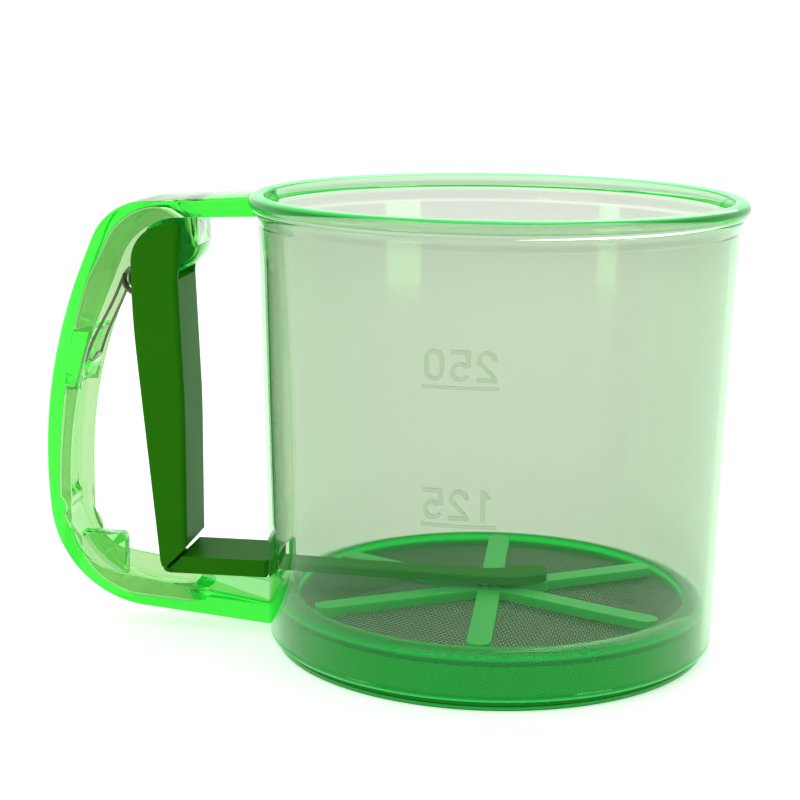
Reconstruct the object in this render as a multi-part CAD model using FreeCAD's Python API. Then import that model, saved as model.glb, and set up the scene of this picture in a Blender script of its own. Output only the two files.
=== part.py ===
"""Hand-held flour sifter: clear tapered cup, mesh floor, star agitator and a sprung squeeze trigger.

Units are millimetres. +Z is up along the cup's axis, the handle points to -X, and the origin is the
centre of the foot that the sifter stands on.
"""
import FreeCAD, Part
import math
import os

from FreeCAD import Vector

# ---- driving dimensions -------------------------------------------------------------------------

# Cup: a tapered, open-ended wall, a collar line and a rounded bead round its mouth.
CUP_HEIGHT = 97.1
WALL_BOTTOM_Z = 2.4
WALL_BOTTOM_R = 48.1
WALL_TOP_R = 50.5
WALL_THICKNESS = 1.8
COLLAR_Z = 91.0
NECK_TOP_Z = 93.2
NECK_TOP_R = 51.3
BEAD_R = 52.5
BEAD_WIDEST_Z = 95.4
BEAD_TOP_R = 51.2
RIM_INNER_R = 49.1

# Base ring: it holds the mesh's rim, and its foot stands just below the wall.
FOOT_R = 46.6
FOOT_CHAMFER = 0.6
RING_TOP_Z = 11.4
RING_LIP_Z = 12.1
RING_LIP_R = 42.4
RING_MOUTH_R = 41.8
RING_FOOT_INNER_R = 42.0
MESH_R = 45.6
MESH_TOP_Z = 9.6
MESH_THICKNESS = 0.5

# Star agitator: six arms that sweep the mesh, on a rivet through the middle of the mesh.
STAR_ARMS = 6
STAR_FIRST_ARM_DEG = 32.3
STAR_R = 40.6
STAR_ARM_WIDTH = 4.8
STAR_HUB_R = 5.3
STAR_BOTTOM_Z = 10.1
STAR_TOP_Z = 12.0
RIVET_R = 1.5
RIVET_RUNNING_GAP = 0.06
RIVET_HEAD_R = 2.9
RIVET_HEAD_HEIGHT = 0.4
RIVET_HEAD_GAP = 0.05
RIVET_TAIL_R = 2.4
RIVET_TAIL_HEIGHT = 0.8
RIVET_ROUNDING = 0.15
WASHER_R = 4.5
WASHER_THICKNESS = 0.6

# Handle: a D-shaped channel, open towards the cup. Each corner is (x, z, radius).
HANDLE_WIDTH = 18.0
HANDLE_WEB = 2.6
HANDLE_FLANGE = 1.2
HANDLE_OUTER = [(-44.0, 96.5, 0), (-82.9, 94.1, 13), (-99.4, 54.5, 112), (-94.6, 7.0, 23.5), (-44.0, 2.2, 0)]
HANDLE_INNER = [(-44.0, 92.1, 0), (-75.8, 91.0, 14), (-91.9, 52.8, 100), (-91.9, 14.2, 11), (-44.0, 6.7, 0)]
HANDLE_EDGE_R = 0.8
RECESS_TOP_END_X = -71.0
RECESS_LOW_END_X = -61.0
RECESS_END_R = 5.0

# Pivot hanger: two ears under the top bar, a front web between them, and a stub pin on each.
PIVOT_X = -69.5
PIVOT_Z = 85.2
HANGER_R = 6.0
HANGER_HALF_WIDTH = 5.9
HANGER_EAR = 2.3
HANGER_WEB = 1.8
HANGER_BACK_X = -71.0
PIN_R = 1.6
PIN_REACH = 7.6
PIN_RUNNING_GAP = 0.05

# Stop lug in the channel's lower bend, where the squeezed trigger ends its travel.
STOP_FACE_X = -81.95
STOP_TOP_Z = 19.3
STOP_WIDTH = 3.8
STOP_CORNER_R = 1.4

# Spring seat on the grip: a pad with a ledge under the spring's cross wire, and two ribs.
SEAT_LOW_Z = 54.0
SEAT_HIGH_Z = 66.0
SEAT_BELOW_FLANGE = 0.95
LEDGE_TOP_Z = 58.4
LEDGE_HEIGHT = 1.0
LEDGE_REACH = 1.0
LEDGE_WIDTH = 9.0
SEAT_RIB_Y = 6.4
SEAT_RIB_WIDTH = 0.8
SEAT_RIB_LOW_Z = 53.0
SEAT_RIB_HIGH_Z = 57.0

# Trigger: a channel-section lever, open towards the grip, with a closed foot.
TRIGGER_HALF_WIDTH = 8.7
TRIGGER_WALL = 1.8
TRIGGER_FRONT_LOW = (-66.1, 19.1)
TRIGGER_FRONT_BULGE = (-66.2, 50.0)
TRIGGER_FRONT_NOTCH = (-67.5, 77.8)
TRIGGER_FRONT_TOP = (-66.7, 89.8)
TRIGGER_BACK_TOP = (-77.5, 89.8)
TRIGGER_BACK_BULGE = (-77.5, 71.0)
TRIGGER_BACK_LOW = (-72.0, 15.8)
TRIGGER_HEAD_R = 8.2
TRIGGER_BULGE_R = 200.0
TRIGGER_FOOT_TOP_Z = 22.0
TRIGGER_RIB_Z = [37.0, 52.0]
TRIGGER_RIB = 1.2
TRIGGER_EDGE_R = 1.2
POST_X = -76.3
POST_Z = 78.0
POST_R = 0.8

# Living hinge: the thin outer corner of the mitre between the trigger and the drive arm.
HINGE_X = -70.6
HINGE_Z = 13.9
HINGE_CLEAR = 0.5
HINGE_OUTER_X = -71.5
CORNER_R = 0.4

# Drive arm: wide outside the cup, narrow inside, curving off to one side at its tip.
ARM_BOTTOM_Z = 12.9
ARM_TOP_Z = 16.7
ARM_MITRE_TOP_X = -67.3
ARM_HALF_WIDTH = 8.0
ARM_SHOULDER_X = -48.3
STRIP_HALF_WIDTH = 3.5
STRIP_TOP_AT_SHOULDER = 15.6
STRIP_TOP_AT_AXIS = 14.8
STRIP_THICKNESS = 1.75
TIP_X = 12.2
TIP_NEAR_Y = 2.0
TIP_FAR_Y = 8.1
TIP_NEAR_R = 15.0
TIP_FAR_R = 9.0
ARM_EDGE_R = 0.4
PEG_X = 9.0
PEG_Y = 5.9
PEG_R = 0.9
PEG_BOTTOM_Z = 10.8
PEG_SLOT_DEG = 30.0
PEG_SLOT_HALF_WIDTH = 1.75
PEG_SLOT_NEAR = 5.7
PEG_SLOT_FAR = 10.9
PEG_PAD_WALL = 1.3

# Slot in the cup's wall that the drive arm passes through.
WALL_SLOT_HALF_WIDTH = 8.6
WALL_SLOT_LOW_Z = 12.3
WALL_SLOT_HIGH_Z = 18.3
WALL_SLOT_CORNER_R = 1.2

# Return spring: twin coils on the trigger's post, with a wide looped leg on the grip.
WIRE_R = 0.32
COIL_X = -77.7
COIL_Z = 76.9
COIL_R = 3.1
COIL_HALF_WALL = 0.36
COIL_FIRST_Y = 3.4
COIL_LAST_Y = 1.6
LEG_SEAT_X = -88.95
LEG_SEAT_Z = 59.0
LEG_HALF_SPAN = 6.0
TRIGGER_LEG_X = -69.6
TRIGGER_LEG_Z = 64.0

# Volume marks, raised on the inside of the wall, to be read from inside the cup.
MARK_LINES = [("125", 37.5), ("250", 64.8)]
MARK_TURN_DEG = -2.4
DIGIT_HEIGHT = 6.1
DIGIT_WIDTH = 3.8
DIGIT_STROKE = 0.8
DIGIT_PITCH = 5.0
DIGIT_ABOVE_LINE = 0.9
MARK_LINE_WIDTH = 14.6
MARK_LINE_HEIGHT = 0.6
MARK_RISE = 0.3

# ---- worked-out dimensions ----------------------------------------------------------------------

MESH_BOTTOM_Z = MESH_TOP_Z - MESH_THICKNESS
WALL_BOTTOM_INNER_R = WALL_BOTTOM_R - WALL_THICKNESS
WALL_TOP_INNER_R = WALL_TOP_R - WALL_THICKNESS
WALL_MIDDLE_Z = CUP_HEIGHT / 2
TRIGGER_HOLLOW = TRIGGER_HALF_WIDTH - TRIGGER_WALL
FULL_TURN_DEG = 360.0
SAME_POINT = 0.0001
FAR = 200.0


# ---- helpers ------------------------------------------------------------------------------------

def save(shape, node):
    """Write one sub-part to parts/NODE.step."""
    solids = shape.Solids
    result = solids[0] if len(solids) == 1 else Part.makeCompound(solids)
    result.exportStep("parts/%s.step" % node)
    print("%-16s solids %d volume %9.1f valid %s" % (node, len(solids), result.Volume, result.isValid()))


def revolve(profile):
    """Turn a closed (radius, z) outline about the cup's axis."""
    points = [Vector(radius, 0, z) for radius, z in profile]
    face = Part.Face(Part.makePolygon(points + points[:1]))
    return face.revolve(Vector(0, 0, 0), Vector(0, 0, 1), FULL_TURN_DEG)


def upright_bar(radius, low, high, x=0.0, y=0.0):
    """Round bar along Z, from z=low to z=high."""
    return Part.makeCylinder(radius, high - low, Vector(x, y, low))


def cross_bar(radius, half_width, x, z):
    """Round bar along Y, centred on y=0."""
    return Part.makeCylinder(radius, 2 * half_width, Vector(x, -half_width, z), Vector(0, 1, 0))


def box(low, high):
    """Box between two corners."""
    size = [high[i] - low[i] for i in range(3)]
    return Part.makeBox(size[0], size[1], size[2], Vector(*low))


def side_point(x, z):
    """Point in the handle's plane of symmetry."""
    return Vector(x, 0, z)


def plan_point(x, y):
    """Point in the floor plane."""
    return Vector(x, y, 0)


def add_line(edges, start, end):
    """Add a straight edge, unless its ends are the same point."""
    if start.distanceToPoint(end) > SAME_POINT:
        edges.append(Part.makeLine(start, end))


def rounded_path(corners, place):
    """Edges of an open line through (a, b, radius) corners; place(a, b) gives the 3-D point."""
    edges = []
    last = place(*corners[0][:2])
    for before, corner, after in zip(corners, corners[1:], corners[2:]):
        point = place(*corner[:2])
        radius = corner[2]
        if radius > 0:
            back = (place(*before[:2]) - point).normalize()
            ahead = (place(*after[:2]) - point).normalize()
            half = back.getAngle(ahead) / 2
            reach = radius / math.tan(half)
            to_arc = radius / math.sin(half) - radius
            arc_start = point + back * reach
            arc_end = point + ahead * reach
            add_line(edges, last, arc_start)
            edges.append(Part.Arc(arc_start, point + (back + ahead).normalize() * to_arc, arc_end).toShape())
            last = arc_end
        else:
            add_line(edges, last, point)
            last = point
    add_line(edges, last, place(*corners[-1][:2]))
    return edges


def closed_face(corners, place):
    """Face inside a closed outline of (a, b, radius) corners; the first corner stays sharp."""
    edges = rounded_path(corners + corners[:1], place)
    return Part.Face(Part.Wire(Part.__sortEdges__(edges)))


def side_prism(corners, half_width, middle=0.0):
    """Closed XZ outline drawn out along Y, to half_width each side of y=middle."""
    face = closed_face(corners, side_point)
    face.translate(Vector(0, middle - half_width, 0))
    return face.extrude(Vector(0, 2 * half_width, 0))


def plan_prism(corners, low, high):
    """Closed XY outline drawn up from z=low to z=high."""
    face = closed_face(corners, plan_point)
    face.translate(Vector(0, 0, low))
    return face.extrude(Vector(0, 0, high - low))


def soften(shape, radius, wanted):
    """Round the edges that wanted(edge) picks."""
    return shape.makeFillet(radius, [edge for edge in shape.Edges if wanted(edge)])


# ---- cup ----------------------------------------------------------------------------------------

def bead_outline():
    """Outer (radius, z) points of the rim, from the collar line to the top of the bead."""
    return [(WALL_TOP_R, COLLAR_Z), (NECK_TOP_R, NECK_TOP_Z), (BEAD_R - 0.4, BEAD_WIDEST_Z - 1.3),
            (BEAD_R, BEAD_WIDEST_Z - 0.6), (BEAD_R, BEAD_WIDEST_Z + 0.5), (BEAD_R - 0.4, BEAD_WIDEST_Z + 1.2),
            (BEAD_TOP_R, CUP_HEIGHT)]


def make_cup_wall():
    """Tapered wall, with the slot for the drive arm."""
    wall = revolve([(WALL_BOTTOM_R, WALL_BOTTOM_Z), (WALL_TOP_R, COLLAR_Z), (WALL_TOP_INNER_R, COLLAR_Z),
                    (WALL_BOTTOM_INNER_R, WALL_BOTTOM_Z)])
    return wall.cut(wall_slot())


def make_rim_bead():
    """Neck and rounded bead round the cup's mouth, above the collar line."""
    inside = [(RIM_INNER_R + 0.8, CUP_HEIGHT), (RIM_INNER_R, CUP_HEIGHT - 0.7), (RIM_INNER_R, COLLAR_Z + 0.5),
              (WALL_TOP_INNER_R, COLLAR_Z)]
    return revolve(bead_outline() + inside)


def wall_slot():
    """Rounded slot through the handle's side of the wall."""
    half = WALL_SLOT_HALF_WIDTH
    r = WALL_SLOT_CORNER_R
    corners = [(0, WALL_SLOT_LOW_Z, 0), (half, WALL_SLOT_LOW_Z, r), (half, WALL_SLOT_HIGH_Z, r),
               (-half, WALL_SLOT_HIGH_Z, r), (-half, WALL_SLOT_LOW_Z, r)]
    face = closed_face(corners, lambda y, z: Vector(-FAR, y, z))
    return face.extrude(Vector(FAR, 0, 0))


def cup_envelope():
    """Solid body of the cup's outside, used to trim the handle to the wall."""
    return revolve([(0, 0), (WALL_BOTTOM_R, 0), (WALL_BOTTOM_R, WALL_BOTTOM_Z)] + bead_outline()
                   + [(BEAD_TOP_R, FAR), (0, FAR)])


# ---- volume marks -------------------------------------------------------------------------------

def stroke(a0, b0, a1, b1):
    """Straight upright or level stroke between two corners."""
    return closed_face([(a0, b0, 0), (a1, b0, 0), (a1, b1, 0), (a0, b1, 0)], side_point)


def slanting_stroke(a0, b0, a1, b1):
    """Stroke from a foot at (a0, b0) to a head at (a1, b1), one stroke wide."""
    wide = DIGIT_STROKE * 1.15
    return closed_face([(a0, b0, 0), (a0 + wide, b0, 0), (a1 + wide, b1, 0), (a1, b1, 0)], side_point)


def round_stroke(mid, centre, start_deg, end_deg):
    """Arc one stroke wide and one digit across, about (mid, centre)."""
    turns = [math.radians(angle) for angle in (start_deg, (start_deg + end_deg) / 2, end_deg)]
    outer_r = DIGIT_WIDTH / 2
    outside = [side_point(mid + outer_r * math.cos(t), centre + outer_r * math.sin(t)) for t in turns]
    inner_r = outer_r - DIGIT_STROKE
    inside = [side_point(mid + inner_r * math.cos(t), centre + inner_r * math.sin(t)) for t in turns]
    edges = [Part.Arc(*outside).toShape(), Part.makeLine(outside[2], inside[2]),
             Part.Arc(*reversed(inside)).toShape(), Part.makeLine(inside[0], outside[0])]
    return Part.Face(Part.Wire(edges))


def digit_one(left, low):
    """Upright with a short flag."""
    mid = left + DIGIT_WIDTH / 2
    top = low + DIGIT_HEIGHT
    flag_low = top - 2 * DIGIT_STROKE
    return [stroke(mid, low, mid + DIGIT_STROKE, top),
            slanting_stroke(mid - 1.4 * DIGIT_STROKE, flag_low, mid, top)]


def digit_two(left, low):
    """Round head, slant and foot."""
    r = DIGIT_WIDTH / 2
    head = low + DIGIT_HEIGHT - r
    right = left + DIGIT_WIDTH
    return [round_stroke(left + r, head, -35, 180), stroke(left, low, right, low + DIGIT_STROKE),
            slanting_stroke(left, low + DIGIT_STROKE, right - 1.6 * DIGIT_STROKE, head - 0.75 * DIGIT_STROKE)]


def digit_five(left, low):
    """Top bar, short upright and round belly."""
    r = DIGIT_WIDTH / 2
    top = low + DIGIT_HEIGHT
    return [stroke(left, top - DIGIT_STROKE, left + DIGIT_WIDTH, top),
            stroke(left, low + 1.5 * r, left + DIGIT_STROKE, top),
            round_stroke(left + r, low + r, -150, 145)]


def digit_zero(left, low):
    """Two half rounds joined by uprights."""
    r = DIGIT_WIDTH / 2
    head = low + DIGIT_HEIGHT - r
    right = left + DIGIT_WIDTH
    return [round_stroke(left + r, low + r, 180, 360), round_stroke(left + r, head, 0, 180),
            stroke(left, low + r, left + DIGIT_STROKE, head),
            stroke(right - DIGIT_STROKE, low + r, right, head)]


DIGITS = {"0": digit_zero, "1": digit_one, "2": digit_two, "5": digit_five}


def make_volume_marks():
    """Two numbers with a line under each, raised on the inside of the near wall."""
    top = COLLAR_Z
    skin = revolve([(WALL_BOTTOM_INNER_R, WALL_BOTTOM_Z), (WALL_TOP_INNER_R, top),
                    (WALL_TOP_INNER_R - MARK_RISE, top), (WALL_BOTTOM_INNER_R - MARK_RISE, WALL_BOTTOM_Z)])
    solids = []
    for number, line_z in MARK_LINES:
        half = MARK_LINE_WIDTH / 2
        digit_low = line_z + MARK_LINE_HEIGHT + DIGIT_ABOVE_LINE
        groups = [[stroke(-half, line_z, half, line_z + MARK_LINE_HEIGHT)]]
        for place, digit in enumerate(number):
            left = (place - 1) * DIGIT_PITCH - DIGIT_WIDTH / 2
            groups.append(DIGITS[digit](left, digit_low))
        for faces in groups:
            bars = [face.extrude(Vector(0, -FAR, 0)) for face in faces]
            raised = bars[0].multiFuse(bars[1:]) if len(bars) > 1 else bars[0]
            solids += raised.common(skin).removeSplitter().Solids
    marks = Part.makeCompound(solids).mirror(Vector(0, 0, 0), Vector(1, 0, 0))
    marks.rotate(Vector(0, 0, 0), Vector(0, 0, 1), MARK_TURN_DEG)
    return marks


# ---- base ring, mesh and star -------------------------------------------------------------------

def make_base_ring():
    """Ring that grips the mesh's rim, with the foot that stands below the wall."""
    top_r = WALL_BOTTOM_INNER_R - 0.1
    return revolve([(RING_FOOT_INNER_R, 0), (FOOT_R - FOOT_CHAMFER, 0), (FOOT_R, FOOT_CHAMFER),
                    (FOOT_R, WALL_BOTTOM_Z), (WALL_BOTTOM_INNER_R, WALL_BOTTOM_Z), (top_r, RING_TOP_Z),
                    (RING_LIP_R, RING_LIP_Z), (RING_MOUTH_R, RING_LIP_Z - 0.3), (RING_MOUTH_R, MESH_TOP_Z),
                    (MESH_R, MESH_TOP_Z),
                    (MESH_R, MESH_BOTTOM_Z), (RING_MOUTH_R, MESH_BOTTOM_Z)])


def make_mesh_screen():
    """Woven steel mesh as a thin disc, with the rivet's hole."""
    disc = upright_bar(MESH_R, MESH_BOTTOM_Z, MESH_TOP_Z)
    return disc.cut(upright_bar(RIVET_R, 0, FAR))


def peg_slot(margin, low, high):
    """Round-ended slot at the root of the star's first arm, grown by a margin."""
    half = PEG_SLOT_HALF_WIDTH + margin
    body = box((PEG_SLOT_NEAR, -half, low), (PEG_SLOT_FAR, half, high))
    ends = [upright_bar(half, low, high, x) for x in (PEG_SLOT_NEAR, PEG_SLOT_FAR)]
    slot = body.multiFuse(ends).removeSplitter()
    slot.rotate(Vector(0, 0, 0), Vector(0, 0, 1), PEG_SLOT_DEG)
    return slot


def star_arm(angle_deg):
    """One round-ended arm from the middle outwards."""
    half = STAR_ARM_WIDTH / 2
    bar = box((0, -half, STAR_BOTTOM_Z), (STAR_R - half, half, STAR_TOP_Z))
    arm = bar.fuse(upright_bar(half, STAR_BOTTOM_Z, STAR_TOP_Z, STAR_R - half))
    arm.rotate(Vector(0, 0, 0), Vector(0, 0, 1), angle_deg)
    return arm


def make_star_agitator():
    """Hub with six round-ended arms; one root is widened round the drive peg's slot."""
    pieces = [peg_slot(PEG_PAD_WALL, STAR_BOTTOM_Z, STAR_TOP_Z)]
    pieces += [star_arm(STAR_FIRST_ARM_DEG + arm * FULL_TURN_DEG / STAR_ARMS) for arm in range(STAR_ARMS)]
    star = upright_bar(STAR_HUB_R, STAR_BOTTOM_Z, STAR_TOP_Z).multiFuse(pieces).removeSplitter()
    star = star.cut(peg_slot(0, 0, FAR))
    return star.cut(upright_bar(RIVET_R + RIVET_RUNNING_GAP, 0, FAR))


def make_pivot_rivet():
    """Rivet with a low head over the star and a clinched tail under the washer."""
    tail_top = MESH_BOTTOM_Z - WASHER_THICKNESS
    tail_low = tail_top - RIVET_TAIL_HEIGHT
    head_low = STAR_TOP_Z + RIVET_HEAD_GAP
    head_top = head_low + RIVET_HEAD_HEIGHT
    tail = [(0, tail_low), (RIVET_TAIL_R - RIVET_ROUNDING, tail_low),
            (RIVET_TAIL_R, tail_low + RIVET_ROUNDING), (RIVET_TAIL_R, tail_top), (RIVET_R, tail_top)]
    head = [(RIVET_R, head_low), (RIVET_HEAD_R, head_low), (RIVET_HEAD_R, head_top - RIVET_ROUNDING),
            (RIVET_HEAD_R - RIVET_ROUNDING, head_top), (0, head_top)]
    return revolve(tail + head)


def make_rivet_washer():
    """Flat washer between the mesh and the rivet's tail."""
    ring = upright_bar(WASHER_R, MESH_BOTTOM_Z - WASHER_THICKNESS, MESH_BOTTOM_Z)
    return ring.cut(upright_bar(RIVET_R, 0, FAR))


# ---- handle -------------------------------------------------------------------------------------

def parallel_line(corners, distance):
    """Handle line moved sideways towards the cup by a distance, its bends kept concentric."""
    points = [Vector(x, 0, z) for x, z, radius in corners]
    normals = []
    for first, second in zip(points, points[1:]):
        along = (second - first).normalize()
        normals.append(Vector(-along.z, 0, along.x))
    befores = [normals[0]] + normals
    afters = normals + [normals[-1]]
    moved = []
    for corner, point, before, after in zip(corners, points, befores, afters):
        shift = (before + after) * (distance / (1 + before.dot(after)))
        radius = corner[2] - distance if corner[2] > 0 else 0
        moved.append((point.x + shift.x, point.z + shift.z, radius))
    return moved


def handle_band(first, second, half_width):
    """Band between two handle lines, drawn out along Y."""
    edges = rounded_path(first, side_point) + rounded_path(second, side_point)
    for end in (0, -1):
        edges.append(Part.makeLine(side_point(*first[end][:2]), side_point(*second[end][:2])))
    face = Part.Face(Part.Wire(Part.__sortEdges__(edges)))
    face.translate(Vector(0, -half_width, 0))
    return face.extrude(Vector(0, 2 * half_width, 0))


def web_line():
    """Line of the web's inner face."""
    return parallel_line(HANDLE_OUTER, HANDLE_WEB)


def inside_channel(rise):
    """Space in the channel, from the web's face to a rise above the flanges."""
    half = HANDLE_WIDTH / 2 - HANDLE_FLANGE
    return handle_band(web_line(), parallel_line(HANDLE_INNER, rise), half)


def recess_limit():
    """Plan of the recess: it ends in a rounded corner on each bar, short of the cup."""
    half = HANDLE_WIDTH / 2 - HANDLE_FLANGE
    limits = []
    for end_x, low, high in ((RECESS_LOW_END_X, -FAR, WALL_MIDDLE_Z), (RECESS_TOP_END_X, WALL_MIDDLE_Z, FAR)):
        corners = [(-FAR, 0, 0), (-FAR, half, 0), (end_x, half, RECESS_END_R),
                   (end_x, -half, RECESS_END_R), (-FAR, -half, 0)]
        limits.append(plan_prism(corners, low, high))
    return limits[0].fuse(limits[1])


def on_outer_rail(edge):
    """True for an edge between the handle's outside and one of its two side faces."""
    limits = edge.BoundBox
    on_side = limits.YLength < 0.01 and abs(abs(limits.YMin) - HANDLE_WIDTH / 2) < 0.01
    middle = edge.valueAt((edge.FirstParameter + edge.LastParameter) / 2)
    outer = Part.Wire(rounded_path(HANDLE_OUTER, side_point))
    return on_side and outer.distToShape(Part.Vertex(Vector(middle.x, 0, middle.z)))[0] < 0.01


def make_handle_grip():
    """D-shaped channel: a web along the outside and a flange down each side."""
    solid = handle_band(HANDLE_OUTER, HANDLE_INNER, HANDLE_WIDTH / 2)
    solid = soften(solid, HANDLE_EDGE_R, on_outer_rail)
    recess = inside_channel(5.0).common(recess_limit())
    return solid.cut(recess).cut(cup_envelope())


def make_pivot_hanger():
    """Two rounded ears with a web across their front, and a stub pin out of each ear."""
    front_x = PIVOT_X + HANGER_R
    back_x = PIVOT_X - HANGER_R
    low_z = PIVOT_Z - HANGER_R
    ear = [(HANGER_BACK_X, CUP_HEIGHT, 0), (front_x, CUP_HEIGHT, 0), (front_x, low_z, HANGER_R),
           (back_x, low_z, HANGER_R), (back_x, PIVOT_Z + HANGER_R, HANGER_R),
           (HANGER_BACK_X, PIVOT_Z + HANGER_R, 0)]
    gap_front_x = front_x - HANGER_WEB
    gap_low_z = low_z + HANGER_WEB
    gap = [(-FAR, FAR, 0), (gap_front_x, FAR, 0), (gap_front_x, gap_low_z, HANGER_R - HANGER_WEB),
           (-FAR, gap_low_z, 0)]
    hanger = side_prism(ear, HANGER_HALF_WIDTH).cut(side_prism(gap, HANGER_HALF_WIDTH - HANGER_EAR))
    top_bar = handle_band(parallel_line(HANDLE_OUTER, -CUP_HEIGHT), HANDLE_INNER, HANDLE_WIDTH)
    pins = cross_bar(PIN_R, PIN_REACH, PIVOT_X, PIVOT_Z)
    between_ears = box((back_x, -HANGER_HALF_WIDTH, low_z), (front_x, HANGER_HALF_WIDTH, CUP_HEIGHT))
    return hanger.cut(top_bar).fuse(pins.cut(between_ears)).removeSplitter()


def make_stop_lug():
    """Block in the channel's lower bend, which the squeezed trigger meets."""
    corners = [(-FAR, 0, 0), (-FAR, STOP_TOP_Z, 0), (STOP_FACE_X, STOP_TOP_Z, STOP_CORNER_R),
               (STOP_FACE_X, 0, 0)]
    return side_prism(corners, STOP_WIDTH / 2).common(inside_channel(8.0))


def make_spring_seat():
    """Pad across the channel, with a ledge under the spring's cross wire and two ribs."""
    inner_half = HANDLE_WIDTH / 2 - HANDLE_FLANGE
    slab = box((-FAR, -inner_half, SEAT_LOW_Z), (0, inner_half, SEAT_HIGH_Z))
    pad = slab.common(inside_channel(-SEAT_BELOW_FLANGE))
    ledge = box((-FAR, -LEDGE_WIDTH / 2, LEDGE_TOP_Z - LEDGE_HEIGHT), (0, LEDGE_WIDTH / 2, LEDGE_TOP_Z))
    extras = [ledge.common(inside_channel(LEDGE_REACH - SEAT_BELOW_FLANGE))]
    for side in (-1, 1):
        low_y = side * SEAT_RIB_Y - SEAT_RIB_WIDTH / 2
        rib = box((-FAR, low_y, SEAT_RIB_LOW_Z), (0, low_y + SEAT_RIB_WIDTH, SEAT_RIB_HIGH_Z))
        extras.append(rib.common(inside_channel(0)))
    return pad.multiFuse(extras).removeSplitter()


# ---- trigger ------------------------------------------------------------------------------------

def trigger_outline():
    """Side outline of the trigger, from the mitre's inner corner round to its outer corner."""
    foot_z = HINGE_Z + HINGE_CLEAR
    return [(HINGE_X, foot_z, 0), TRIGGER_FRONT_LOW + (0,), TRIGGER_FRONT_BULGE + (TRIGGER_BULGE_R,),
            TRIGGER_FRONT_NOTCH + (0,), TRIGGER_FRONT_TOP + (0,), TRIGGER_BACK_TOP + (TRIGGER_HEAD_R,),
            TRIGGER_BACK_BULGE + (TRIGGER_BULGE_R,), TRIGGER_BACK_LOW + (0,),
            (HINGE_OUTER_X - 0.15, foot_z, 0)]


def is_pull_edge(edge):
    """True for the two long edges of the face that the fingers pull."""
    limits = edge.BoundBox
    on_side = limits.YLength < 0.01 and abs(abs(limits.YMin) - TRIGGER_HALF_WIDTH) < 0.01
    return on_side and limits.XMin > TRIGGER_FRONT_NOTCH[0] - 0.01 and limits.ZLength > 5


def make_trigger_lever():
    """Channel-section lever with cross ribs, a closed foot and blind sockets for the stub pins."""
    body = soften(side_prism(trigger_outline(), TRIGGER_HALF_WIDTH), TRIGGER_EDGE_R, is_pull_edge)
    web_back = [(TRIGGER_FRONT_LOW[0] - TRIGGER_WALL, TRIGGER_FOOT_TOP_Z, 0),
                (TRIGGER_FRONT_NOTCH[0] - TRIGGER_WALL, TRIGGER_FRONT_NOTCH[1], 0),
                (TRIGGER_FRONT_NOTCH[0] - TRIGGER_WALL, FAR, 0)]
    hollow = side_prism(web_back + [(-FAR, FAR, 0), (-FAR, TRIGGER_FOOT_TOP_Z, 0)], TRIGGER_HOLLOW)
    for rib_z in TRIGGER_RIB_Z:
        hollow = hollow.cut(box((-FAR, -FAR, rib_z), (0, FAR, rib_z + TRIGGER_RIB)))
    notch = box((-FAR, -TRIGGER_HOLLOW, TRIGGER_FRONT_NOTCH[1]), (0, TRIGGER_HOLLOW, FAR))
    sockets = cross_bar(PIN_R + PIN_RUNNING_GAP, PIN_REACH + PIN_RUNNING_GAP, PIVOT_X, PIVOT_Z)
    return body.cut(hollow).cut(notch).cut(sockets)


def make_spring_post():
    """Bar across the trigger that the spring's coils sit on."""
    return cross_bar(POST_R, TRIGGER_HOLLOW, POST_X, POST_Z)


def wire(start, end):
    """Straight length of spring wire."""
    along = end - start
    return Part.makeCylinder(WIRE_R, along.Length, start, along)


def coil_sleeve(side):
    """Sleeve round the close turns of wire on one side of the middle."""
    low_y = min(side * COIL_FIRST_Y, side * COIL_LAST_Y) - WIRE_R
    width = COIL_FIRST_Y - COIL_LAST_Y + 2 * WIRE_R
    start = Vector(COIL_X, low_y, COIL_Z)
    outside = Part.makeCylinder(COIL_R + COIL_HALF_WALL, width, start, Vector(0, 1, 0))
    return outside.cut(Part.makeCylinder(COIL_R - COIL_HALF_WALL, width, start, Vector(0, 1, 0)))


def make_return_spring():
    """Twin-coil torsion spring: a wide loop on the grip, and two legs inside the trigger."""
    pieces = []
    for side in (-1, 1):
        leave = Vector(COIL_X - COIL_R, side * (COIL_FIRST_Y - WIRE_R), COIL_Z)
        enter = Vector(COIL_X + COIL_R, side * (COIL_LAST_Y + WIRE_R), COIL_Z)
        pieces.append(coil_sleeve(side))
        pieces.append(wire(leave, Vector(LEG_SEAT_X, side * LEG_HALF_SPAN, LEG_SEAT_Z)))
        pieces.append(wire(enter, Vector(TRIGGER_LEG_X, enter.y, TRIGGER_LEG_Z)))
    overhang = LEG_HALF_SPAN + WIRE_R
    pieces.append(wire(Vector(LEG_SEAT_X, -overhang, LEG_SEAT_Z), Vector(LEG_SEAT_X, overhang, LEG_SEAT_Z)))
    return pieces[0].multiFuse(pieces[1:])


# ---- drive arm ----------------------------------------------------------------------------------

def strip_top(x):
    """Height of the inner strip's top, which falls towards the cup's axis."""
    return STRIP_TOP_AT_AXIS + (STRIP_TOP_AT_SHOULDER - STRIP_TOP_AT_AXIS) * x / ARM_SHOULDER_X


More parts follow.
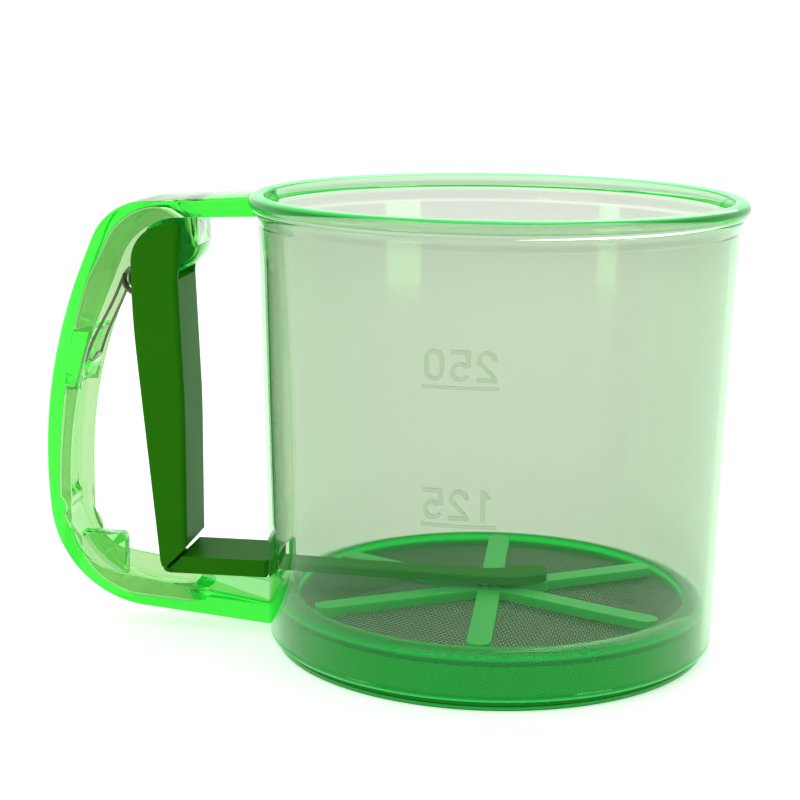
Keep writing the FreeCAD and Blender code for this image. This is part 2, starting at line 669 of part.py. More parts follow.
def arm_plan():
    """Plan of the drive arm, with its curved tip."""
    start_x = HINGE_X + HINGE_CLEAR
    return [(start_x, 0, 0), (start_x, ARM_HALF_WIDTH, 0), (ARM_SHOULDER_X, ARM_HALF_WIDTH, 0.8),
            (ARM_SHOULDER_X, STRIP_HALF_WIDTH, 0), (1.0, STRIP_HALF_WIDTH, TIP_FAR_R), (6.6, TIP_FAR_Y, 2.0),
            (TIP_X - 0.5, TIP_FAR_Y, 1.0), (TIP_X, TIP_NEAR_Y, 2.0), (6.0, -STRIP_HALF_WIDTH, TIP_NEAR_R),
            (ARM_SHOULDER_X, -STRIP_HALF_WIDTH, 0), (ARM_SHOULDER_X, -ARM_HALF_WIDTH, 0.8),
            (start_x, -ARM_HALF_WIDTH, 0)]


def make_drive_arm():
    """Flat arm: wide up to the cup's wall, a narrow strip inside, curved at the star."""
    start_x = HINGE_X + HINGE_CLEAR
    end_x = TIP_X + 1.0
    side = [(start_x, ARM_BOTTOM_Z, 0), (start_x, HINGE_Z, 0), (ARM_MITRE_TOP_X, ARM_TOP_Z, 0),
            (ARM_SHOULDER_X, ARM_TOP_Z, 0), (ARM_SHOULDER_X, strip_top(ARM_SHOULDER_X), 0),
            (end_x, strip_top(end_x), 0), (end_x, strip_top(end_x) - STRIP_THICKNESS, 0),
            (ARM_SHOULDER_X, strip_top(ARM_SHOULDER_X) - STRIP_THICKNESS, 0),
            (ARM_SHOULDER_X, ARM_BOTTOM_Z, 0)]
    arm = plan_prism(arm_plan(), 0, WALL_MIDDLE_Z).common(side_prism(side, HANDLE_WIDTH)).removeSplitter()
    return soften(arm, ARM_EDGE_R, is_strip_edge)


def is_strip_edge(edge):
    """True for the top edges of the inner strip."""
    limits = edge.BoundBox
    on_top = strip_top(TIP_X) - 0.05 < limits.ZMin and limits.ZMax < ARM_TOP_Z - 0.5
    return on_top and limits.XMin > ARM_SHOULDER_X - 0.01 and limits.XLength > 0.01


def make_drive_peg():
    """Peg under the arm's tip, which runs in the star's slot."""
    middle_z = strip_top(PEG_X) - STRIP_THICKNESS / 2
    return upright_bar(PEG_R, PEG_BOTTOM_Z, middle_z, PEG_X, PEG_Y).cut(make_drive_arm())


def make_living_hinge():
    """Thin corner of the mitre, which bends as the trigger swings."""
    low = ARM_BOTTOM_Z + 0.1
    high = HINGE_Z + HINGE_CLEAR
    corners = [(HINGE_X, high, 0), (HINGE_OUTER_X, high, 0), (HINGE_OUTER_X, low, CORNER_R),
               (HINGE_X + HINGE_CLEAR, low, 0), (HINGE_X + HINGE_CLEAR, HINGE_Z, 0)]
    return side_prism(corners, ARM_HALF_WIDTH)


# ---- all sub-parts ------------------------------------------------------------------------------

MAKERS = {
    "cup_wall": make_cup_wall,
    "rim_bead": make_rim_bead,
    "volume_marks": make_volume_marks,
    "base_ring": make_base_ring,
    "mesh_screen": make_mesh_screen,
    "star_agitator": make_star_agitator,
    "pivot_rivet": make_pivot_rivet,
    "rivet_washer": make_rivet_washer,
    "handle_grip": make_handle_grip,
    "pivot_hanger": make_pivot_hanger,
    "stop_lug": make_stop_lug,
    "spring_seat": make_spring_seat,
    "trigger_lever": make_trigger_lever,
    "spring_post": make_spring_post,
    "return_spring": make_return_spring,
    "living_hinge": make_living_hinge,
    "drive_arm": make_drive_arm,
    "drive_peg": make_drive_peg,
}

os.makedirs("parts", exist_ok=True)
for node_name, maker in MAKERS.items():
    save(maker(), node_name)
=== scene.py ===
"""Looks of the hand-held flour sifter: see-through green cup and handle, woven mesh, star and trigger.

Lengths are in millimetres until mm() turns them into Blender's metres. Positions come from the CAD
frame: the cup's axis is Z, the handle points to -X and the foot stands on z = 0.
"""
import math

import bmesh
import bpy
from mathutils import Matrix, Vector


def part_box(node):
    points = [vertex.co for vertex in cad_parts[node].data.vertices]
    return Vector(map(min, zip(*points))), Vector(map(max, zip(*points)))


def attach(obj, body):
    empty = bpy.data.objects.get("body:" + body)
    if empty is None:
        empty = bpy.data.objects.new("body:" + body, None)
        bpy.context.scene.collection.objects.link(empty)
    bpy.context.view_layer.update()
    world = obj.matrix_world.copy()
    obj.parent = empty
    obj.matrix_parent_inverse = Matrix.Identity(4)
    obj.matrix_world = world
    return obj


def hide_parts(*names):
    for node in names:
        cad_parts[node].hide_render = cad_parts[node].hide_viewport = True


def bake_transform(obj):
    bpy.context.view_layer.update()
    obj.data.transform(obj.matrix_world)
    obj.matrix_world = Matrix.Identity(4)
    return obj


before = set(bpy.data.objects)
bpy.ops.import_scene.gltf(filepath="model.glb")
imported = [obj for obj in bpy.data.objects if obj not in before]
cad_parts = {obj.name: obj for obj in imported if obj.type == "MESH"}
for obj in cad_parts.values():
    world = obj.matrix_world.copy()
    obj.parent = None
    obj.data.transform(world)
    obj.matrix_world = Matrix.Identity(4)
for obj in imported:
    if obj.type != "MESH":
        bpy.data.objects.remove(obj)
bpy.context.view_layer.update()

MM = 0.001


def mm(*values):
    """Millimetres to a vector in metres."""
    return Vector([value * MM for value in values])


def node_box(node):
    """Lowest and highest corners of a CAD node, in millimetres."""
    low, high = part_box(node)
    return low / MM, high / MM


# ---- places and sizes taken from the frame ------------------------------------------------------

wall_low, wall_high = node_box("cup_wall")
rim_low, rim_high = node_box("rim_bead")
mesh_low, mesh_high = node_box("mesh_screen")
spring_low = node_box("return_spring")[0]
hinge_low, hinge_high = node_box("living_hinge")

RIM_R = rim_high.x
RIM_TOP = rim_high.z
WALL_LOW = wall_low.z
COLLAR_Z = rim_low.z
WALL_TOP_R = wall_high.x
RING_SHOULDER_Z = 11.4

# ---- mesh helpers -------------------------------------------------------------------------------

ROUND_STEPS = 256


def add_piece(name, vertices, faces, material, smooth=True):
    """New mesh object from millimetre points, with one material."""
    mesh = bpy.data.meshes.new(name)
    mesh.from_pydata([mm(*point) for point in vertices], [], faces)
    mesh.validate()
    for polygon in mesh.polygons:
        polygon.use_smooth = smooth
    mesh.materials.append(material)
    piece = bpy.data.objects.new(name, mesh)
    bpy.context.scene.collection.objects.link(piece)
    return piece


def lathe(name, profile, material, steps=ROUND_STEPS):
    """Closed (radius, z) outline turned about the cup's axis."""
    count = len(profile)
    vertices = []
    faces = []
    for step in range(steps):
        turn = 2 * math.pi * step / steps
        vertices += [(r * math.cos(turn), r * math.sin(turn), z) for r, z in profile]
        ahead = (step + 1) % steps
        for i in range(count):
            j = (i + 1) % count
            faces.append((step * count + i, ahead * count + i, ahead * count + j, step * count + j))
    return add_piece(name, vertices, faces, material)


def tube(name, points, radius, material, sides=10):
    """Round tube along a millimetre path, with closed ends."""
    path = [Vector(point) for point in points]
    vertices = []
    faces = []
    side = Vector((0.0, 1.0, 0.0))
    for i, point in enumerate(path):
        along = (path[min(i + 1, len(path) - 1)] - path[max(i - 1, 0)]).normalized()
        side = (side - along * side.dot(along)).normalized()
        other = along.cross(side)
        for step in range(sides):
            turn = 2 * math.pi * step / sides
            vertices.append(point + radius * (math.cos(turn) * side + math.sin(turn) * other))
    for i in range(len(path) - 1):
        for step in range(sides):
            ahead = (step + 1) % sides
            near = i * sides
            far = near + sides
            faces.append((near + step, near + ahead, far + ahead, far + step))
    faces.append(tuple(reversed(range(sides))))
    last = (len(path) - 1) * sides
    faces.append(tuple(range(last, last + sides)))
    return add_piece(name, vertices, faces, material)


def arc_points(centre, radius, start_deg, end_deg, steps):
    """Points (a, b) along an arc, both ends included."""
    points = []
    for step in range(steps + 1):
        turn = math.radians(start_deg + (end_deg - start_deg) * step / steps)
        points.append((centre[0] + radius * math.cos(turn), centre[1] + radius * math.sin(turn)))
    return points


def bevel(piece, width, segments=3, angle_deg=35.0):
    """Rounded edges on a piece or CAD node, with smooth shading."""
    for polygon in piece.data.polygons:
        polygon.use_smooth = True
    modifier = piece.modifiers.new("rounded_edges", "BEVEL")
    modifier.width = width * MM
    modifier.segments = segments
    modifier.limit_method = "ANGLE"
    modifier.angle_limit = math.radians(angle_deg)
    modifier.harden_normals = True


# ---- materials ----------------------------------------------------------------------------------

# Colour of the painted glow: the clear plastics give off this green light of their own, in their body and at
# the glow bands, whatever the lamps do.
PAINTED_GLOW_COLOR = (0.02, 1.0, 0.16, 1)
CLEAR_SHADE = (0.82, 0.93, 0.80, 1)
# Deeper green painted into the base colour at the glow bands.
PAINTED_EDGE_TINT = (0.08, 0.80, 0.32, 1)
CLEAR_SHEEN = (0.30, 0.70, 0.35, 1)
CLEAR_IOR = 1.49
CLEAR_SPECULAR = 0.12
DENSITY_MARGIN = 1.02
CLEAR_FLOW_SCALE = 30.0
# Bump depths, like the bleed scale, are in metres, and noise scales are in waves per metre.
RIPPLE_STRENGTH = 0.03
RIPPLE_DEPTH = 0.0005
MOULDED_FLOW_SCALE = 60.0
GRAIN_SCALE = 900.0
GRAIN_STRENGTH = 0.08
GRAIN_DEPTH = 0.0002
BLEED_RADIUS = (0.2, 1.0, 0.2)
BLEED_SCALE = 0.002
DRAWING_SCALE = 1500.0
# Strength of the painted glow at the bands.
PAINTED_GLOW_STRENGTH = 0.55


def new_material(name):
    """Empty node material with an output; returns it with its tree and output node."""
    material = bpy.data.materials.new(name)
    material.use_nodes = True
    tree = material.node_tree
    tree.nodes.clear()
    output = tree.nodes.new("ShaderNodeOutputMaterial")
    return material, tree, output


def object_noise(tree, scale, detail=3.0):
    """Noise over the object's own space, at a scale in waves per metre."""
    place = tree.nodes.new("ShaderNodeTexCoord")
    noise = tree.nodes.new("ShaderNodeTexNoise")
    noise.inputs["Scale"].default_value = scale
    noise.inputs["Detail"].default_value = detail
    tree.links.new(place.outputs["Object"], noise.inputs["Vector"])
    return noise


def bump_from(tree, source, strength, distance):
    """Bump node fed by a noise."""
    bump = tree.nodes.new("ShaderNodeBump")
    bump.inputs["Strength"].default_value = strength
    bump.inputs["Distance"].default_value = distance
    tree.links.new(source, bump.inputs["Height"])
    return bump


def vary(tree, source, low, high, target):
    """Map a 0 to 1 source onto a range and link it to a socket."""
    ramp = tree.nodes.new("ShaderNodeMapRange")
    ramp.inputs["To Min"].default_value = low
    ramp.inputs["To Max"].default_value = high
    tree.links.new(source, ramp.inputs["Value"])
    tree.links.new(ramp.outputs["Result"], target)


def paint_glow_bands(tree, shader, tint, bands):
    """Painted glow and painted deeper green at some heights: they stand in for the light piped along the
    sheet that comes out at its edges, where the colour is deepest.

    bands are (height in mm, share from 0 to 1) stops.
    """
    place = tree.nodes.new("ShaderNodeNewGeometry")
    parts = tree.nodes.new("ShaderNodeSeparateXYZ")
    tree.links.new(place.outputs["Position"], parts.inputs["Vector"])
    height = tree.nodes.new("ShaderNodeMapRange")
    height.inputs["From Max"].default_value = RIM_TOP * MM
    tree.links.new(parts.outputs["Z"], height.inputs["Value"])
    ramp = tree.nodes.new("ShaderNodeValToRGB")
    stops = ramp.color_ramp.elements
    for i, (z, share) in enumerate(bands):
        stop = stops[i] if i < 2 else stops.new(z / RIM_TOP)
        stop.position = z / RIM_TOP
        stop.color = (share, share, share, 1)
    tree.links.new(height.outputs["Result"], ramp.inputs["Fac"])
    # Painted deeper green and painted glow, set by height.
    deepen = tree.nodes.new("ShaderNodeMix")
    deepen.data_type = "RGBA"
    deepen.inputs["A"].default_value = tint
    deepen.inputs["B"].default_value = PAINTED_EDGE_TINT
    tree.links.new(ramp.outputs["Color"], deepen.inputs["Factor"])
    tree.links.new(deepen.outputs["Result"], shader.inputs["Base Color"])
    shader.inputs["Emission Color"].default_value = PAINTED_GLOW_COLOR
    vary(tree, ramp.outputs["Color"], 0.0, PAINTED_GLOW_STRENGTH, shader.inputs["Emission Strength"])


def clear_plastic(name, tint, absorbed, glow, roughness=0.012, bands=(), shade=CLEAR_SHADE):
    """See-through moulding: light fades per metre by the absorbed triple, and the body gives off a painted
    green glow of its own.

    tint is what one sheet lets through, glow is the painted glow's light per metre of depth, bands
    are the (height, share) stops of painted glow and painted deeper green, and shade is what each surface
    leaves in a shadow.
    """
    material, tree, output = new_material(name)
    glass = tree.nodes.new("ShaderNodeBsdfPrincipled")
    glass.inputs["Base Color"].default_value = tint
    glass.inputs["Transmission Weight"].default_value = 1.0
    glass.inputs["IOR"].default_value = CLEAR_IOR
    flow = object_noise(tree, CLEAR_FLOW_SCALE)
    vary(tree, flow.outputs["Fac"], 0.0, roughness, glass.inputs["Roughness"])
    ripple = bump_from(tree, flow.outputs["Fac"], RIPPLE_STRENGTH, RIPPLE_DEPTH)
    tree.links.new(ripple.outputs["Normal"], glass.inputs["Normal"])
    glass.inputs["Specular IOR Level"].default_value = CLEAR_SPECULAR
    glass.inputs["Specular Tint"].default_value = CLEAR_SHEEN
    if bands:
        paint_glow_bands(tree, glass, tint, bands)
    open_air = tree.nodes.new("ShaderNodeBsdfTransparent")
    open_air.inputs["Color"].default_value = shade
    ray = tree.nodes.new("ShaderNodeLightPath")
    mix = tree.nodes.new("ShaderNodeMixShader")
    tree.links.new(ray.outputs["Is Shadow Ray"], mix.inputs["Fac"])
    tree.links.new(glass.outputs["BSDF"], mix.inputs[1])
    tree.links.new(open_air.outputs["BSDF"], mix.inputs[2])
    tree.links.new(mix.outputs["Shader"], output.inputs["Surface"])
    density = max(absorbed) * DENSITY_MARGIN
    fade = tree.nodes.new("ShaderNodeVolumeAbsorption")
    fade.inputs["Density"].default_value = density
    fade.inputs["Color"].default_value = [1 - share / density for share in absorbed] + [1]
    # Painted glow: the plastic's body gives off green light of its own, whatever the lamps do.
    painted_glow = tree.nodes.new("ShaderNodeEmission")
    painted_glow.inputs["Color"].default_value = PAINTED_GLOW_COLOR
    painted_glow.inputs["Strength"].default_value = glow
    both = tree.nodes.new("ShaderNodeAddShader")
    tree.links.new(fade.outputs["Volume"], both.inputs[0])
    tree.links.new(painted_glow.outputs["Emission"], both.inputs[1])
    tree.links.new(both.outputs["Shader"], output.inputs["Volume"])
    return material


def moulded_plastic(name, color, depth_color, roughness, subsurface=0.25, shine=0.25):
    """Coloured moulding with faint flow marks and light bleeding through its edges."""
    material, tree, output = new_material(name)
    shader = tree.nodes.new("ShaderNodeBsdfPrincipled")
    flow = object_noise(tree, MOULDED_FLOW_SCALE)
    blend = tree.nodes.new("ShaderNodeMix")
    blend.data_type = "RGBA"
    blend.inputs["A"].default_value = color
    blend.inputs["B"].default_value = depth_color
    tree.links.new(flow.outputs["Fac"], blend.inputs["Factor"])
    tree.links.new(blend.outputs["Result"], shader.inputs["Base Color"])
    vary(tree, flow.outputs["Fac"], roughness - 0.05, roughness + 0.08, shader.inputs["Roughness"])
    shader.inputs["Specular IOR Level"].default_value = shine
    shader.inputs["Subsurface Weight"].default_value = subsurface
    shader.inputs["Subsurface Radius"].default_value = BLEED_RADIUS
    shader.inputs["Subsurface Scale"].default_value = BLEED_SCALE
    grain = object_noise(tree, GRAIN_SCALE, 2.0)
    skin = bump_from(tree, grain.outputs["Fac"], GRAIN_STRENGTH, GRAIN_DEPTH)
    tree.links.new(skin.outputs["Normal"], shader.inputs["Normal"])
    tree.links.new(shader.outputs["BSDF"], output.inputs["Surface"])
    return material


def drawn_metal(name, color, roughness):
    """Wire or sheet steel with fine drawing marks."""
    material, tree, output = new_material(name)
    shader = tree.nodes.new("ShaderNodeBsdfPrincipled")
    shader.inputs["Metallic"].default_value = 1.0
    shader.inputs["Base Color"].default_value = color
    marks = object_noise(tree, DRAWING_SCALE)
    vary(tree, marks.outputs["Fac"], roughness - 0.08, roughness + 0.12, shader.inputs["Roughness"])
    tree.links.new(shader.outputs["BSDF"], output.inputs["Surface"])
    return material


# Heights of painted glow and painted deeper green on the cup: its foot and the top of its bead.
CUP_BANDS = ((WALL_LOW, 0.8), (WALL_LOW + 0.3, 0.0), (RIM_TOP - 0.7, 0.0), (RIM_TOP - 0.15, 1.0))
CUP_GREEN = clear_plastic("clear_cup_plastic", tint=(0.84, 0.695, 0.765, 1), absorbed=(160, 30, 150),
                          glow=20.0, bands=CUP_BANDS)
GRIP_GREEN = clear_plastic("clear_grip_plastic", tint=(0.46, 0.62, 0.35, 1), absorbed=(120, 8, 125),
                           glow=26.0)
# Heights of painted glow and painted deeper green on the ring: faint up its side, strong just under its
# shoulder.
RING_BANDS = ((WALL_LOW - 0.3, 0.0), (WALL_LOW + 0.1, 0.22), (RING_SHOULDER_Z - 1.2, 0.22),
              (RING_SHOULDER_Z - 0.6, 0.75), (RING_SHOULDER_Z - 0.05, 0.75), (RING_SHOULDER_Z + 0.05, 0.2))
RING_CLEAR = clear_plastic("clear_ring_plastic", tint=(0.05, 0.33, 0.13, 1), absorbed=(1100, 150, 700),
                           glow=14.0, roughness=0.03, bands=RING_BANDS, shade=(0.30, 0.55, 0.33, 1))
MARK_GREEN = clear_plastic("clear_mark_plastic", tint=(0.84, 0.90, 0.83, 1), absorbed=(120, 40, 130),
                           glow=4.0, roughness=0.05)
MINT_GREEN = moulded_plastic("mint_green_plastic", (0.055, 0.52, 0.11, 1), (0.075, 0.58, 0.14, 1),
                             roughness=0.35, subsurface=0.3, shine=0.2)
DARK_GREEN = moulded_plastic("dark_green_plastic", (0.016, 0.145, 0.002, 1), (0.022, 0.165, 0.003, 1),
                             roughness=0.34, subsurface=0.1, shine=0.02)
# Dark steel. Its faint green cast is painted: it stands in for light tinted green by the clear cup around
# the mesh.
MESH_STEEL = drawn_metal("mesh_wire", (0.19, 0.22, 0.17, 1), roughness=0.13)
RIVET_STEEL = drawn_metal("rivet_steel", (0.60, 0.60, 0.60, 1), roughness=0.25)
SPRING_STEEL = drawn_metal("spring_wire", (0.24, 0.22, 0.19, 1), roughness=0.35)

# ---- clear cup and handle -----------------------------------------------------------------------

WALL = 1.8
WALL_LOW_R = 48.1
RIM_BORE_R = 49.1
SLOT_HALF_WIDTH = 8.6
SLOT_LOW = 12.3
SLOT_HIGH = 18.3
SLOT_CORNER = 1.2
SLOT_CUT_FROM_X = -60.0
SLOT_CUT_TO_X = -30.0
BEAD_R = 1.75
CUP_SHARP_DEG = 38.0


def rim_outside():
    """Outline of the neck's outside and the rounded bead, up to the bead's top."""
    neck = [(WALL_TOP_R, COLLAR_Z), (WALL_TOP_R + 0.15, COLLAR_Z + 0.3), (WALL_TOP_R + 0.35, COLLAR_Z + 1.2),
            (WALL_TOP_R + 0.8, COLLAR_Z + 2.1)]
    return neck + arc_points((RIM_R - BEAD_R, RIM_TOP - BEAD_R), BEAD_R, -75, 90, 14)


def rim_profile():
    """Outline of the neck and its rounded bead, from the wall's outside over to its inside."""
    inside = [(RIM_BORE_R + 0.8, RIM_TOP), (RIM_BORE_R + 0.2, RIM_TOP - 0.3), (RIM_BORE_R, RIM_TOP - 0.8),
              (RIM_BORE_R, COLLAR_Z + 0.6), (WALL_TOP_R - WALL, COLLAR_Z)]
    return rim_outside() + inside


def cup_profile():
    """Closed outline of the tapered wall and its rim."""
    lean = (WALL_TOP_R - WALL_LOW_R) / (COLLAR_Z - WALL_LOW)
    step = 0.5
    foot = [(WALL_LOW_R - WALL + lean * step, WALL_LOW + step), (WALL_LOW_R - WALL, WALL_LOW),
            (WALL_LOW_R - step / 2, WALL_LOW), (WALL_LOW_R, WALL_LOW + step / 2),
            (WALL_LOW_R + lean * step, WALL_LOW + step)]
    below_collar = (WALL_TOP_R - lean * step, COLLAR_Z - step)
    return foot + [below_collar] + rim_profile() + [(below_collar[0] - WALL, below_collar[1])]


def cut_with(piece, cutter, operation="DIFFERENCE"):
    """Take the cutter's shape out of a piece for good, or join it on."""
    modifier = piece.modifiers.new("cut", "BOOLEAN")
    modifier.operation = operation
    modifier.solver = "EXACT"
    modifier.object = cutter
    settle(piece)
    bpy.data.objects.remove(cutter)


def settle(piece):
    """Turn a piece's modifiers into its mesh."""
    bpy.context.view_layer.update()
    shaped = piece.evaluated_get(bpy.context.evaluated_depsgraph_get())
    mesh = bpy.data.meshes.new_from_object(shaped)
    piece.modifiers.clear()
    piece.data = mesh


def slot_cutter():
    """Rounded block through the handle's side of the wall."""
    outline = []
    for sign_y, sign_z, start in ((1, 1, 0), (-1, 1, 90), (-1, -1, 180), (1, -1, 270)):
        centre = (sign_y * (SLOT_HALF_WIDTH - SLOT_CORNER),
                  SLOT_HIGH - SLOT_CORNER if sign_z > 0 else SLOT_LOW + SLOT_CORNER)
        outline += arc_points(centre, SLOT_CORNER, start, start + 90, 5)
    count = len(outline)
    vertices = [(x, y, z) for x in (SLOT_CUT_FROM_X, SLOT_CUT_TO_X) for y, z in outline]
    faces = [(i, (i + 1) % count, count + (i + 1) % count, count + i) for i in range(count)]
    faces += [tuple(reversed(range(count))), tuple(range(count, 2 * count))]
    return add_piece("slot_cutter", vertices, faces, CUP_GREEN)


def build_cup():
    """Dense lathe of the wall and rim, with the arm's slot cut in it."""
    cup = lathe("clear_cup", cup_profile(), CUP_GREEN)
    cut_with(cup, slot_cutter())
    for polygon in cup.data.polygons:
        polygon.use_smooth = True
    cup.data.set_sharp_from_angle(angle=math.radians(CUP_SHARP_DEG))
    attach(cup, "root")
    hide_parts("cup_wall", "rim_bead")


# The handle's outside line, and the line its two flanges end on: (x, z, bend radius) corners.
GRIP_OUTER = [(-44.0, 96.5, 0), (-82.9, 94.1, 13), (-99.4, 54.5, 112), (-94.6, 7.0, 23.5), (-44.0, 2.2, 0)]
GRIP_INNER = [(-44.0, 92.1, 0), (-75.8, 91.0, 14), (-91.9, 52.8, 100), (-91.9, 14.2, 11), (-44.0, 6.7, 0)]
GRIP_HALF_WIDTH = 9.0
GRIP_WEB = 2.6
GRIP_FLANGE = 1.2
GRIP_MIDDLE_Z = 50.0
CHANNEL_TOP_END_X = -71.0
CHANNEL_LOW_END_X = -61.0
CHANNEL_END_R = 5.0
OUTER_EDGE_R = 0.8
FLANGE_EDGE_R = 0.4
FLOOR_FILLET = 1.9
GRIP_SHARP_DEG = 34.0


def rounded_line(corners, bend_steps=28, straight_steps=10):
    """Evenly divided points along a line of corners with rounded bends."""
    points = []
    reached = Vector(corners[0][:2])
    for i in range(1, len(corners) - 1):
        corner = Vector(corners[i][:2])
        back = (Vector(corners[i - 1][:2]) - corner).normalized()
        ahead = (Vector(corners[i + 1][:2]) - corner).normalized()
        half = back.angle(ahead) / 2
        trim = corners[i][2] / math.tan(half)
        start = corner + back * trim
        centre = corner + (back + ahead).normalized() * (corners[i][2] / math.sin(half))
        points += [reached.lerp(start, step / straight_steps) for step in range(straight_steps)]
        swing = math.pi - 2 * half
        if back.x * ahead.y - back.y * ahead.x < 0:
            swing = -swing
        spoke = start - centre
        for step in range(bend_steps):
            turn = -swing * step / bend_steps
            points.append(centre + Vector((spoke.x * math.cos(turn) - spoke.y * math.sin(turn),
                                           spoke.x * math.sin(turn) + spoke.y * math.cos(turn))))
        reached = corner + ahead * trim
    last = Vector(corners[-1][:2])
    points += [reached.lerp(last, step / straight_steps) for step in range(straight_steps + 1)]
    return points


# Steps back from the hollow's end, where its corners round off.
END_STEPS = [0.0, 0.1, 0.4, 1.0, 2.0, 3.4, CHANNEL_END_R]


def channel_end_x(z):
    """Where the hollow of the handle stops on the upper or the lower bar."""
    return CHANNEL_TOP_END_X if z > GRIP_MIDDLE_Z else CHANNEL_LOW_END_X


def grip_stations():
    """(outer point, inner point, distance into the hollow) along the handle; below 0 it is solid."""
    pairs = list(zip(rounded_line(GRIP_OUTER), rounded_line(GRIP_INNER)))
    stations = []
    for (outer, inner), (outer_ahead, inner_ahead) in zip(pairs, pairs[1:]):
        end_x = channel_end_x(outer.y)
        stations.append((outer, inner, end_x - outer.x))
        crossings = [end_x - step for step in END_STEPS]
        for x in sorted(crossings, reverse=outer_ahead.x < outer.x):
            share = (x - outer.x) / (outer_ahead.x - outer.x) if outer_ahead.x != outer.x else -1
            if 0 < share < 1:
                place = (outer.lerp(outer_ahead, share), inner.lerp(inner_ahead, share))
                entries = [place + (end_x - x,)]
                if x == end_x:
                    closed = place + (-1.0,)
                    entries = [closed] + entries if outer_ahead.x < outer.x else entries + [closed]
                stations += entries
    stations.append(pairs[-1] + (-1.0,))
    return stations


def grip_section(outer, inner, depth_in):
    """Cross-section points (y, rise from the outer face) of the channel at one station."""
    height = (inner - outer).length
    half = GRIP_HALF_WIDTH
    if depth_in < 0:
        hollow, floor, round_in, fillet = half - GRIP_FLANGE, height, 0.0, 0.0
    else:
        inset = CHANNEL_END_R - min(depth_in, CHANNEL_END_R)
        hollow = half - GRIP_FLANGE - CHANNEL_END_R + math.sqrt(CHANNEL_END_R ** 2 - inset ** 2)
        floor, round_in, fillet = GRIP_WEB, FLANGE_EDGE_R, FLOOR_FILLET
    one_side = arc_points((half - OUTER_EDGE_R, OUTER_EDGE_R), OUTER_EDGE_R, -90, 0, 5)
    one_side += arc_points((half - FLANGE_EDGE_R, height - FLANGE_EDGE_R), FLANGE_EDGE_R, 0, 90, 4)
    one_side += arc_points((hollow + round_in, height - round_in), round_in, 90, 180, 4)
    one_side += arc_points((hollow - fillet, floor + fillet), fillet, 0, -90, 4)
    return one_side + [(-y, rise) for y, rise in reversed(one_side)]


def sweep_grip():
    """Dense mesh of the handle channel, its two ends running into the cup."""
    vertices = []
    faces = []
    stations = grip_stations()
    for outer, inner, depth_in in stations:
        along = (inner - outer).normalized()
        section = grip_section(outer, inner, depth_in)
        count = len(section)
        for y, rise in section:
            place = outer + along * rise
            vertices.append((place.x, y, place.y))
    for i in range(len(stations) - 1):
        for j in range(count):
            k = (j + 1) % count
            faces.append((i * count + j, i * count + k, (i + 1) * count + k, (i + 1) * count + j))
    last = (len(stations) - 1) * count
    faces.append(tuple(reversed(range(count))))
    faces.append(tuple(range(last, last + count)))
    grip = add_piece("clear_grip", vertices, faces, GRIP_GREEN)
    tidy_faces(grip)
    return grip


def tidy_faces(piece):
    """Join doubled points and turn every face outwards."""
    work = bmesh.new()
    work.from_mesh(piece.data)
    bmesh.ops.remove_doubles(work, verts=work.verts, dist=0.002 * MM)
    bmesh.ops.recalc_face_normals(work, faces=work.faces)
    work.to_mesh(piece.data)
    work.free()


def weld(piece):
    """Join a CAD mesh's split corners into closed surfaces."""
    work = bmesh.new()
    work.from_mesh(piece.data)
    bmesh.ops.remove_doubles(work, verts=work.verts, dist=0.001 * MM)
    work.to_mesh(piece.data)
    work.free()


TRIM_GAP = 0.03
TRIM_LOW = -5.0
TRIM_HIGH = 120.0


def cup_space():
    """Solid a hair larger than the cup's outside, to trim the handle with."""
    foot_r = WALL_LOW_R + TRIM_GAP
    outside = [(r + TRIM_GAP, z) for r, z in rim_outside()]
    top_r = outside[-1][0]
    profile = [(0.0, TRIM_LOW), (foot_r, TRIM_LOW), (foot_r, WALL_LOW)] + outside
    profile += [(top_r, TRIM_HIGH), (0.0, TRIM_HIGH)]
    return lathe("cup_space", profile, GRIP_GREEN)


# Small parts moulded on the handle, each with the shift that sinks it into the channel.
HANDLE_PARTS = {"pivot_hanger": (0, 0, 0.02), "stop_lug": (-0.05, 0, -0.05), "spring_seat": (-0.05, 0, 0)}


def build_grip():
    """Handle channel joined to its hanger, stop lug and spring seat: one clear moulding."""
    grip = sweep_grip()
    space = cup_space()
    tidy_faces(space)
    cut_with(grip, space)
    for node, shift in HANDLE_PARTS.items():
        part = bpy.data.objects.new("clear_grip_part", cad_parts[node].data.copy())
        bpy.context.scene.collection.objects.link(part)
        part.data.materials.clear()
        part.data.materials.append(GRIP_GREEN)
        part.data.transform(Matrix.Translation(mm(*shift)))
        weld(part)
        cut_with(grip, part, "UNION")
    for polygon in grip.data.polygons:
        polygon.use_smooth = True
    grip.data.set_sharp_from_angle(angle=math.radians(GRIP_SHARP_DEG))
    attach(grip, "root")
    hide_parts("handle_grip", *HANDLE_PARTS)


def paint(node, material, edge=0.0):
    """Give a CAD node its material, and soften its edges where asked."""
    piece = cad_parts[node]
    piece.data.materials.clear()
    piece.data.materials.append(material)
    if edge:
        bevel(piece, edge)


# ---- base ring ----------------------------------------------------------------------------------

RING_SIDE_R = 46.2
RING_MOUTH_R = 41.8
RING_LIP_Z = 12.1
FOOT_R = 46.6
FOOT_INNER_R = 42.0
FOOT_EDGE_R = 0.6
LIP_EDGE_R = 0.35
RING_EDGE = 0.3
FOOT_BEVEL = 0.2
FOOT_GAP = 0.04
RING_SHARP_DEG = 40.0


